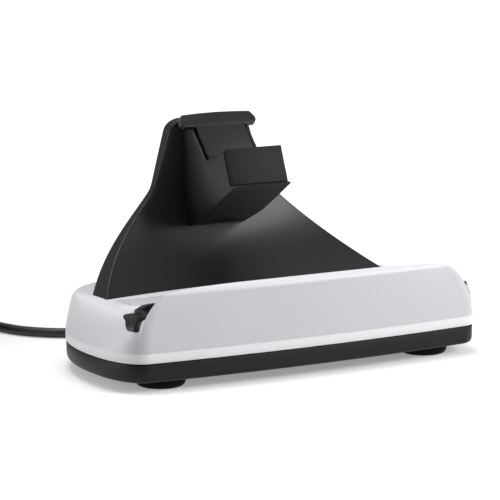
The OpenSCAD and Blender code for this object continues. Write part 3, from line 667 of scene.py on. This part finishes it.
class DOCK_OT_base(bpy.types.Operator):
    """Builds the cover, the band of light, the tray and the feet."""

    bl_idname = "dock.base"
    bl_label = "Base"

    def execute(self, context):
        form = Form()
        outline = plan(form)
        self.cover(form, outline)
        self.band(outline)
        self.tray(form, outline)
        for side, word in ((-1, "left"), (1, "right")):
            self.foot(form, (side * FRONT_FOOT[0], FRONT_FOOT[1]), f"front_{word}")
            self.foot(form, (side * REAR_FOOT[0], REAR_FOOT[1]), f"rear_{word}")
        return {"FINISHED"}

    def cover(self, form, outline):
        """One moulding: deck, rolled sides, front wall and the bolster, hollow, and open along the trough."""
        low = BAND_TOP - 3
        cover = deck_skin(form, outline, 0, low)
        behind = box("behind the wall", (-REACH, TROUGH_FRONT - 0.2, -10), (REACH, REACH, 80))
        combine(cover, "INTERSECT", behind)
        wall = ridge_skin(form, outline, low)
        combine(wall, "DIFFERENCE", box("back", (-REACH, TROUGH_FRONT, -10), (REACH, REACH, 80)))
        deck, (front, rear) = form.deck_z, BOLSTER_Y
        wedge = [(front, deck - 1), (front, deck + BOLSTER_RISE), (rear, deck), (rear, deck - 1)]
        bolster = prism("bolster", wedge, -BOLSTER_HALF_W, BOLSTER_HALF_W)
        combine(cover, "UNION", wall, bolster)
        combine(
            cover,
            "DIFFERENCE",
            deck_skin(form, outline, WALL, low - 2),
            prism("slot", slot_outline(0), -REACH, REACH),
            upright("pocket", pocket_outline(0), TROUGH_FLOOR, 60),
        )
        combine(cover, "DIFFERENCE", box("under", (-REACH, -REACH, low - 10), (REACH, REACH, BAND_TOP)))
        cover.name = "cover"
        finish(crisp(cover, 30), "moulded satin ABS, grey", "grey_abs", "top_cover")

    def band(self, outline):
        """The opal ring between the cover and the tray, with a hairline break at its two edges."""
        section = [
            (0.18, BAND_Z), (0.05, BAND_Z + 0.06), (0, BAND_Z + 0.25), (0, BAND_TOP - 0.2),
            (0.05, BAND_TOP - 0.04), (0.14, BAND_TOP), (BAND_T, BAND_TOP), (BAND_T, BAND_Z),
        ]
        band = loft("light_ring", [ring(outline, z, inset, inset) for inset, z in section], looped=True)
        finish(crisp(band, 40), "opal polycarbonate", "diffuser", "light_band")

    def tray(self, form, outline):
        """The tray: a rounded lower edge, a lip under the band, screw bores and seats for the feet."""
        low = [
            (2.2, 0), (1.62, 0.1), (1.2, 0.3), (0.86, 0.57), (0.6, 0.9), (0.45, 1.3), (0.35, 1.8),
            (0.28, 2.4), (TRAY_INSET, 3),
        ]
        inner = WALL + TRAY_INSET
        section = [(inset, TRAY_Z + z) for inset, z in low]
        section += [
            (TRAY_INSET, TRAY_TOP - 0.25), (0.32, TRAY_TOP - 0.07), (0.5, TRAY_TOP), (1, TRAY_TOP),
            (1, BAND_Z), (inner, BAND_Z), (inner, TRAY_Z + 2),
        ]
        tray = loft("tray", [ring(outline, z, inset, inset) for inset, z in section])
        posts = [rod("post", at, POST_R, TRAY_Z + 1, BAND_Z) for at in BASE_SCREWS]
        combine(tray, "UNION", *posts)
        bores = [rod("bore", at, HEAD_R, TRAY_Z - 1, TRAY_Z + 3) for at in BASE_SCREWS]
        bores += [rod("shank", at, 1.5, TRAY_Z, 20) for at in BASE_SCREWS]
        for side in (-1, 1):
            for x, y in (FRONT_FOOT, REAR_FOOT):
                seat_r, seat_top = form.foot_r + SLIP, TRAY_Z + SEAT_DEPTH
                bores.append(rod("seat", (side * x, y), seat_r, TRAY_Z - 1, seat_top, 72))
        exit_hole = rod("exit", (0, 0), 3.0, 40, 52)
        place(exit_hole, Matrix.Translation((0, 0, LEAD_EXIT_Z * MM)) @ LYING)
        combine(tray, "DIFFERENCE", *bores, exit_hole)
        finish(crisp(tray, 32), "moulded satin ABS, charcoal", "charcoal_abs", "base_tray")

    def foot(self, form, at, word):
        """A turned rubber foot with a domed edge and a shallow moulded ring in its underside."""
        r = form.foot_r
        profile = [
            (0.02, 0.35), (r - 4.6, 0.35), (r - 4.2, 0.0), (r - 2.5, 0.0), (r - 1.7, 0.12), (r - 1.1, 0.4),
            (r - 0.62, 0.86), (r - 0.3, 1.4), (r - 0.12, 2.0), (r, 3.0), (r, TRAY_Z + SEAT_DEPTH),
            (0.02, TRAY_Z + SEAT_DEPTH),
        ]
        turns = np.linspace(0, 2 * math.pi, 72, endpoint=False)
        (x, y), spin = at, [(math.cos(a), math.sin(a)) for a in turns]
        rings = [np.array([(x + q * c, y + q * s, z) for c, s in spin]) for q, z in profile]
        foot = loft(f"foot_{word}_rubber", rings)
        finish(crisp(foot, 40), "silicone rubber", "foot_rubber", f"foot_{word}")


# ---- Trough ----


class DOCK_OT_trough(bpy.types.Operator):
    """Builds the black liner of the trough and the console plug in it."""

    bl_idname = "dock.trough"
    bl_label = "Trough and plug"

    def execute(self, context):
        form = Form()
        outline = plan(form)
        self.liner(form, outline)
        self.plug(form)
        return {"FINISHED"}

    def liner(self, form, outline):
        """A thin black channel that ends flush with the cover's two sides."""
        liner = prism("liner", slot_outline(SLIP), -REACH, REACH)
        wall = ridge_skin(form, outline, BAND_TOP - 3)
        strip = box(
            "strip",
            (-REACH, TROUGH_FRONT + SLIP, TROUGH_FLOOR + 1),
            (REACH, TROUGH_FRONT + SLIP + LINER_T, TROUGH_FLOOR + STRIP_TOP),
        )
        combine(wall, "INTERSECT", strip)
        combine(liner, "INTERSECT", deck_skin(form, outline, 0, BAND_TOP - 3))
        pocket = upright("pocket", pocket_outline(SLIP), TROUGH_FLOOR + SLIP, form.deck_z + POCKET_RIM)
        combine(liner, "UNION", wall, pocket)
        bore = upright("bore", stadium(22.2, 8.2), -30, 30)
        place(bore, plug_matrix(form))
        combine(
            liner,
            "DIFFERENCE",
            prism("slot", slot_outline(LINER_T), -REACH, REACH),
            upright("space", pocket_outline(LINER_T), TROUGH_FLOOR + LINER_T, 60),
            bore,
        )
        liner.name = "trough_channel"
        finish(crisp(liner, 32), "moulded satin ABS, black", "black_abs", "trough_liner")

    def plug(self, form):
        """The plug that charges the console: its housing and its shell."""
        matrix = plug_matrix(form)
        housing = upright("plug_seat", stadium(22, 8, 20), -7.8, -1)
        flange = rounded([(-14.5, -5.75), (14.5, -5.75), (14.5, 5.75), (-14.5, 5.75)], 1.2)
        combine(housing, "UNION", upright("flange", flange, -9.2, -7.7))
        combine(housing, "DIFFERENCE", upright("bore", stadium(8.36, 2.58, 16), -20, 20))
        edges(housing, 0.4, 3)
        finish(place(housing, matrix), "moulded satin ABS, black", "black_abs", "plug_housing")
        shell = upright("plug_steel", stadium(8.34, 2.56, 20), -9.2, 6.5)
        combine(shell, "DIFFERENCE", upright("bore", stadium(7.74, 1.96, 20), -20, 20))
        edges(shell, 0.1, 2)
        finish(place(shell, matrix), "nickel plated steel", "plated_steel", "plug_shell")


def plug_matrix(form):
    """Puts a piece drawn upright on the console plug's leaning axis."""
    return Matrix.Translation(Vector((0, -29.8, 27.7)) * MM) @ Matrix.Rotation(-form.lean, 4, "X")


# ---- Riser ----

FOOT_W = 66.4
FOOT_Y = 4.2
TOP_Y = 36.6
UPRIGHT_Z = 77.7
BEND_Z = 58.7
SHELL_T = 2.6
DISH = 7.0
UPRIGHT_DISH = -1.2
FLARE = 1.09
TAPER = 0.32
WAIST_W = 25.8
WAIST_Z = 67.7
WAIST_SOFT = 0.8
CORNER_R = 5.5
SIDE_LOW = 0.8
SIDE_GAIN = 9.4
SIDE_WIDEN = 0.11
REAR_CROWN = 6.5
EDGE_SHARE = 0.14
RISER_SCREWS = [(-12, 76), (12, 76), (-18, 60), (18, 60)]


def lean_part(form, z):
    return max(0.0, BEND_Z - z) / (BEND_Z - form.deck_z)


def riser_width(form, z):
    """Half the riser's width at a height."""
    a = FOOT_W - FLARE * (z - form.deck_z)
    b = WAIST_W - TAPER * (z - WAIST_Z)
    d = min(1.0, max(0.0, z - form.top_z + CORNER_R) / CORNER_R)
    return (a + b) / 2 + math.hypot((a - b) / 2, WAIST_SOFT) - CORNER_R * (1 - math.sqrt(1 - d * d))


def riser_front_y(form, x, z, width=None):
    """Where the riser's hollow front is at a place across it and a height."""
    bend = max(0.0, UPRIGHT_Z - z) / (UPRIGHT_Z - form.deck_z)
    middle = TOP_Y - (TOP_Y - FOOT_Y) * bend**2.75
    dish = UPRIGHT_DISH + (DISH - UPRIGHT_DISH) * lean_part(form, z) ** 1.2
    return middle + dish * (1 - (x / (width or riser_width(form, z))) ** 2)


def riser_depth(form, u, z):
    """How deep the rear shell is behind the front one at a share u of the half width."""
    d = min(1.0, max(0.0, z - form.top_z + 3.4) / 3.6)
    side = SIDE_LOW + SIDE_GAIN * lean_part(form, z) ** 1.5 + SIDE_WIDEN * max(0.0, z - WAIST_Z)
    u = np.minimum(np.abs(u), 1.0)
    keep = 1 - EDGE_SHARE * (1 - np.sqrt(1 - u**16))
    return 0.6 + math.sqrt(1 - d * d) * (side + REAR_CROWN * (1 - u * u)) * keep


def riser_levels(form, crown, n=72, soft=7):
    """Heights up the riser, with how far the section is set in where its top edge turns over."""
    levels = [(z, 0.0) for z in np.linspace(form.deck_z, form.top_z - crown, n)]
    levels = [level for level in levels if level[0] < form.top_z - CORNER_R - 0.2]
    levels += [(z, 0.0) for z in np.linspace(form.top_z - CORNER_R, form.top_z - crown, 10)]
    for a in np.radians(np.linspace(0, 90, soft + 1))[1:]:
        levels.append((form.top_z - crown * (1 - math.sin(a)), crown * (1 - math.cos(a))))
    return levels


class DOCK_OT_riser(bpy.types.Operator):
    """Builds the riser's two shells."""

    bl_idname = "dock.riser"
    bl_label = "Riser"

    def execute(self, context):
        form = Form()
        self.front(form)
        self.rear(form)
        return {"FINISHED"}

    def front(self, form):
        """The hollow front shell, an even sheet with softly broken edges."""
        soft, close = 0.55, 0.25
        turn = np.radians(np.linspace(0, 90, 6))
        rings = []
        for z, inset in riser_levels(form, 0.7):
            w = riser_width(form, z) - inset
            across = np.linspace(-(w - soft), w - soft, 61)
            front = [(x, riser_front_y(form, x, z) + inset) for x in across]
            back = [(x, y + SHELL_T - 2 * inset) for x, y in front[::-1]]
            edge_y = riser_front_y(form, w, z) + inset
            thick = SHELL_T - 2 * inset
            round_right = [
                (w - soft + soft * math.sin(a), edge_y + soft * (1 - math.cos(a))) for a in turn[1:]
            ]
            close_right = [
                (w - close * (1 - math.cos(a)), edge_y + thick - close * (1 - math.sin(a))) for a in turn[:-1]
            ]
            right = round_right + close_right
            left = [(-x, y) for x, y in right[::-1]]
            rings.append(np.array([(x, y, z) for x, y in front + right + back + left]))
        shell = loft("riser_front_shell", rings)
        finish(crisp(shell, 50), "moulded satin ABS, black", "black_abs", "riser_front")

    def rear(self, form):
        """The crowned rear shell, with bores for screws sunk in its back."""
        bend = np.sin(np.radians(np.linspace(0, 90, 22))) ** 0.25
        half = np.concatenate([np.linspace(0, 0.5, 9)[:-1], bend[bend >= 0.5]])
        share = np.concatenate([-half[:0:-1], half])
        rings = []
        for z, inset in riser_levels(form, 0.4):
            w = riser_width(form, z) - 0.3 - inset
            x = share * w
            seam = np.array([riser_front_y(form, v, z) for v in x]) + SHELL_T + SLIP + inset
            depth = riser_depth(form, share, z) - inset
            lip = 0.22 * np.clip((np.abs(share) - 0.985) / 0.015, 0, 1)
            fore = np.column_stack([x, seam + lip, np.full(len(x), z)])
            aft = np.column_stack([x, seam + np.maximum(depth, lip + 0.05), np.full(len(x), z)])
            rings.append(np.concatenate([fore, aft[::-1]]))
        shell = loft("riser_rear_shell", rings)
        for x, z in RISER_SCREWS:
            depth = float(riser_depth(form, x / riser_width(form, z), z))
            back = riser_front_y(form, x, z) + SHELL_T + SLIP + depth
            hole = rod("hole", (0, 0), HEAD_R, back - 1.2, back + 8)
            combine(shell, "DIFFERENCE", place(hole, Matrix.Translation((x * MM, 0, z * MM)) @ LYING))
        finish(crisp(shell, 45), "moulded satin ABS, black", "black_abs", "riser_rear")


# ---- Cradle ----

BLOCK_HALF_W = 13.4
FACE_T = 2.0
FACE_LOW = np.array((-3.5, 70.9))
FACE_HIGH = np.array((2.0, 85.0))
FACE_BACK = np.array((FACE_T, -0.4 * FACE_T))
BLOCK_OUTLINE = [
    (-5.3, 70.4), tuple(FACE_LOW), tuple(FACE_LOW + FACE_BACK), tuple(FACE_HIGH + FACE_BACK - (0.2, 0.5)),
    (7, 81.5), (14.7, 80.3), (17.4, 77.7), (32.6, 94.7), (45, 94.7), (45, 43.7), (33.9, 48.6), (16.9, 56.4),
    (3.5, 64.7),
]
PLATE_FOOT = (18.5, 79.8)
PLATE_LEAN = 40.2
PLATE_HALF_W = 11.5
EAR_HALF_W = 17.8
EAR_LOW = 15.0
PLATE_TOP = 21.6
PLATE_T = 2.3


class DOCK_OT_cradle(bpy.types.Operator):
    """Builds the cradle block with its front face and its back plate."""

    bl_idname = "dock.cradle"
    bl_label = "Cradle"

    def execute(self, context):
        form = Form()
        turn = Matrix.Rotation(math.radians(-PLATE_LEAN), 4, "X")
        lean = Matrix.Translation(Vector((0, *PLATE_FOOT)) * MM) @ turn
        self.block(form, lean)
        self.face()
        self.plate(lean)
        return {"FINISHED"}

    def block(self, form, lean):
        """The block: a hooked lip, a channel and two cheeks, cut to lie on the riser."""
        block = prism("cradle_body", BLOCK_OUTLINE, -BLOCK_HALF_W, BLOCK_HALF_W)
        recess = box("recess", (1 - BLOCK_HALF_W, -10, -0.8), (BLOCK_HALF_W - 1, PLATE_T, 40))
        combine(block, "DIFFERENCE", place(recess, lean))
        edges(block, 0.3, 3, 25)
        heights = [38, 42, 46, 50, 54, 58, 61, 64, 67, 70, 74, 78, 84, 92, 100]
        across = np.linspace(-20, 20, 33)
        rows = []
        for z in heights:
            w = riser_width(form, min(z, form.top_z - CORNER_R))
            fore = [(x, riser_front_y(form, x, z, w) - SLIP, z) for x in across]
            rows.append(np.array(fore + [(x, 90, z) for x in across[::-1]]))
        combine(block, "DIFFERENCE", loft("riser_space", rows))
        finish(crisp(block, 35), "moulded satin ABS, black", "black_abs", "cradle_block")

    def face(self):
        """The thin grained plate on the block's front."""
        low = FACE_LOW + (0, 0.05)
        outline = [low, FACE_HIGH, FACE_HIGH + FACE_BACK - (0, 0.3), low + FACE_BACK]
        face = prism("cradle_front", outline, 0.5 - BLOCK_HALF_W, BLOCK_HALF_W - 0.5)
        edges(face, 0.28, 3)
        finish(face, "etched ABS face", "textured_face", "cradle_face")

    def plate(self, lean):
        """The T-shaped back plate, with rounded ears and a broken edge."""
        right = [
            (PLATE_HALF_W, 0), (PLATE_HALF_W, EAR_LOW), (EAR_HALF_W - 1.2, EAR_LOW),
            (EAR_HALF_W, EAR_LOW + 1.6), (EAR_HALF_W, EAR_LOW + 3.2), (EAR_HALF_W - 1.6, PLATE_TOP - 0.6),
            (EAR_HALF_W / 2, PLATE_TOP - 0.2),
        ]
        outline = rounded(right + [(0, PLATE_TOP)] + [(-x, z) for x, z in right[::-1]], 0.7, 4, skip=(0, 14))
        plate = loft("cradle_plate", [np.array([(x, y, z) for x, z in outline]) for y in (0, PLATE_T)])
        edges(plate, 0.35, 3)
        finish(place(plate, lean), "moulded satin ABS, black", "black_abs", "back_plate")


# ---- Inside parts that the frame carries ----


class DOCK_OT_inside(bpy.types.Operator):
    """Gives the frame's own inner parts and screws their finishes."""

    bl_idname = "dock.inside"
    bl_label = "Inner parts and screws"

    def execute(self, context):
        for node, material in CAD_FINISH.items():
            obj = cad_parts[node]
            for slot in obj.material_slots:
                slot.material = bpy.data.materials[material]
            obj.data.set_sharp_from_angle(angle=math.radians(35))
        return {"FINISHED"}


# ---- Stage ----

FLOOR_GLOW = 0.3
ROOM_LOW = 0.15
ROOM_HIGH = 0.6


class DOCK_OT_stage(bpy.types.Operator):
    """Builds the floor, the lamps and the camera."""

    bl_idname = "dock.stage"
    bl_label = "Floor, lamps and camera"

    def execute(self, context):
        self.camera(context)
        self.floor(context)
        self.world(context)
        self.lamp("overhead softbox", (-80, 120, 900), (0, 0, 30), (500, 400), 4.4)
        self.lamp("front right softbox", (700, -720, 540), (0, 0, 40), (500, 500), 9.8)
        self.lamp("left softbox", (-900, 420, 300), (0, 0, 40), (500, 400), 3.0)
        return {"FINISHED"}

    def camera(self, context):
        """The photograph's view: from the front left, a little above the base."""
        lens = bpy.data.cameras.new("photo camera")
        lens.lens = 199.5
        lens.sensor_width = 36
        eye, aim = Vector((-577.5, -939.5, 225.2)) * MM, Vector((-7.0, -6.5, 44.8)) * MM
        cam = bpy.data.objects.new("photo camera", lens)
        cam.location = eye
        cam.rotation_euler = (aim - eye).to_track_quat("-Z", "Y").to_euler()
        lens.clip_end = 50
        context.scene.collection.objects.link(cam)
        context.scene.camera = cam

    def floor(self, context):
        """A wide pale sheet that shows white to the camera, with the dock's own shadow on it."""
        half = 6000
        corners = [(-half, -half, 0), (half, -half, 0), (half, half, 0), (-half, half, 0)]
        sheet = piece("floor", corners, [[0, 1, 2, 3]])
        material = bpy.data.materials.new("pale floor")
        material.use_nodes = True
        tree = material.node_tree
        tree.nodes.clear()
        seen = self.seen(tree)
        matt = add(tree, "ShaderNodeBsdfDiffuse", {"Color": (0.72, 0.72, 0.73, 1)})
        where = add(tree, "ShaderNodeTexCoord")
        away = add(tree, "ShaderNodeVectorMath", {"operation": "LENGTH"}, {0: where.outputs["Object"]})
        level = add(
            tree,
            "ShaderNodeMapRange",
            {"From Min": 0.15, "From Max": 1.5, "To Min": FLOOR_GLOW, "To Max": 1.0},
            {"Value": away.outputs["Value"]},
        )
        glow = add(tree, "ShaderNodeEmission", {"Color": (1, 1, 1, 1)}, {"Strength": level.outputs[0]})
        both = add(tree, "ShaderNodeAddShader", {}, {0: matt.outputs[0], 1: glow.outputs[0]})
        dim = add(tree, "ShaderNodeBsdfDiffuse", {"Color": (0.30, 0.30, 0.31, 1)})
        pick = add(tree, "ShaderNodeMixShader", {}, {0: seen, 1: dim.outputs[0], 2: both.outputs[0]})
        add(tree, "ShaderNodeOutputMaterial", {}, {"Surface": pick.outputs[0]})
        sheet.data.materials.append(material)

    def seen(self, tree):
        """One where a ray comes from the camera, a mirror or glass."""
        path = add(tree, "ShaderNodeLightPath").outputs
        most = {"operation": "MAXIMUM"}
        first = add(tree, "ShaderNodeMath", most, {0: path["Is Camera Ray"], 1: path["Is Glossy Ray"]})
        both = add(tree, "ShaderNodeMath", most, {0: first.outputs[0], 1: path["Is Transmission Ray"]})
        return both.outputs[0]

    def world(self, context):
        """A room that is brighter overhead than low down, and plain white where the camera sees it."""
        world = bpy.data.worlds.new("room")
        world.use_nodes = True
        tree = world.node_tree
        tree.nodes.clear()
        path = add(tree, "ShaderNodeLightPath")
        where = add(tree, "ShaderNodeTexCoord")
        up = add(tree, "ShaderNodeSeparateXYZ", {}, {0: where.outputs["Generated"]})
        level = add(
            tree, "ShaderNodeMapRange", {"To Min": ROOM_LOW, "To Max": ROOM_HIGH}, {"Value": up.outputs["Z"]}
        )
        cool = {"Color": (0.98, 0.99, 1.0, 1)}
        light = add(tree, "ShaderNodeBackground", cool, {"Strength": level.outputs[0]})
        white = add(tree, "ShaderNodeBackground", {"Color": (1, 1, 1, 1), "Strength": 1.0})
        camera = path.outputs["Is Camera Ray"]
        pick = add(tree, "ShaderNodeMixShader", {}, {0: camera, 1: light.outputs[0], 2: white.outputs[0]})
        add(tree, "ShaderNodeOutputWorld", {}, {"Surface": pick.outputs[0]})
        context.scene.world = world
        context.scene.view_settings.view_transform = "Standard"

    def lamp(self, name, at, aim, size, power):
        """A soft rectangular lamp, in millimetres and watts."""
        data = bpy.data.lights.new(name, "AREA")
        data.shape = "RECTANGLE"
        data.size, data.size_y = size[0] * MM, size[1] * MM
        data.energy = power
        lamp = bpy.data.objects.new(name, data)
        lamp.location = Vector(at) * MM
        lamp.rotation_euler = (Vector(aim) - Vector(at)).to_track_quat("-Z", "Y").to_euler()
        bpy.context.scene.collection.objects.link(lamp)


# ---- Properties and panel ----


def length(name, description, value):
    """A length property, in metres."""
    return bpy.props.FloatProperty(
        name=name, description=description, default=value, unit="LENGTH", precision=4
    )


def colour(name, description, code):
    """A colour property from its sRGB hex value."""
    return bpy.props.FloatVectorProperty(
        name=name, description=description, default=linear(code), subtype="COLOR", min=0, max=1
    )


class DockSizes(bpy.types.PropertyGroup):
    """Driving sizes of the dock."""

    base_half_width: length("Base half width", "From the middle to the widest place of the base", 0.0846)
    base_half_depth: length("Base half depth", "From the middle to the front of the base", 0.0464)
    deck_height: length("Deck height", "Level of the deck above the table", 0.0285)
    ridge_height: length("Front wall height", "Top of the front wall above the table", 0.0394)
    riser_height: length("Riser height", "Top of the riser above the table", 0.0937)
    foot_radius: length("Foot radius", "Radius of a rubber foot", 0.0099)
    lead_diameter: length("Lead diameter", "Outside diameter of the lead", 0.0042)
    console_lean: bpy.props.FloatProperty(
        name="Console lean",
        description="Lean of the console in the trough",
        default=math.radians(22),
        subtype="ANGLE",
    )


class DockColours(bpy.types.PropertyGroup):
    """Colours of the dock's finishes."""

    cover: colour("Cover", "Grey ABS of the cover", "#d2d3d6")
    band: colour("Light band", "Opal ring when it isn't lit", "#f8f8fa")
    riser: colour("Riser", "Black ABS of the riser and cradle", "#0f1011")
    tray: colour("Tray", "Charcoal ABS of the tray", "#131415")
    face: colour("Faces", "Grained faces of the cradle", "#111214")
    rubber: colour("Rubber", "Silicone of the feet", "#080809")
    lead: colour("Lead", "PVC of the lead and its plug", "#1d1d1f")


OPERATORS = (
    DOCK_OT_stage,
    DOCK_OT_lead,
    DOCK_OT_base,
    DOCK_OT_trough,
    DOCK_OT_riser,
    DOCK_OT_cradle,
    DOCK_OT_inside,
)


class DOCK_PT_panel(bpy.types.Panel):
    """Sizes, colours and building steps of the dock."""

    bl_label = "Charging dock"
    bl_idname = "DOCK_PT_panel"
    bl_space_type = "VIEW_3D"
    bl_region_type = "UI"
    bl_category = "Dock"

    def draw(self, context):
        for group in (context.scene.dock_sizes, context.scene.dock_colours):
            column = self.layout.column(align=True)
            for name in group.__annotations__:
                column.prop(group, name)
        for operator in OPERATORS:
            self.layout.operator(operator.bl_idname)


CLASSES = (DockSizes, DockColours, *OPERATORS, DOCK_PT_panel)


def register():
    for cls in CLASSES:
        bpy.utils.register_class(cls)
    bpy.types.Scene.dock_sizes = bpy.props.PointerProperty(type=DockSizes)
    bpy.types.Scene.dock_colours = bpy.props.PointerProperty(type=DockColours)


def unregister():
    del bpy.types.Scene.dock_colours
    del bpy.types.Scene.dock_sizes
    for cls in reversed(CLASSES):
        bpy.utils.unregister_class(cls)


def main():
    """Builds the whole scene."""
    register()
    make_materials()
    for operator in OPERATORS:
        group, name = operator.bl_idname.split(".")
        getattr(getattr(bpy.ops, group), name)()


if __name__ == "__main__":
    main()
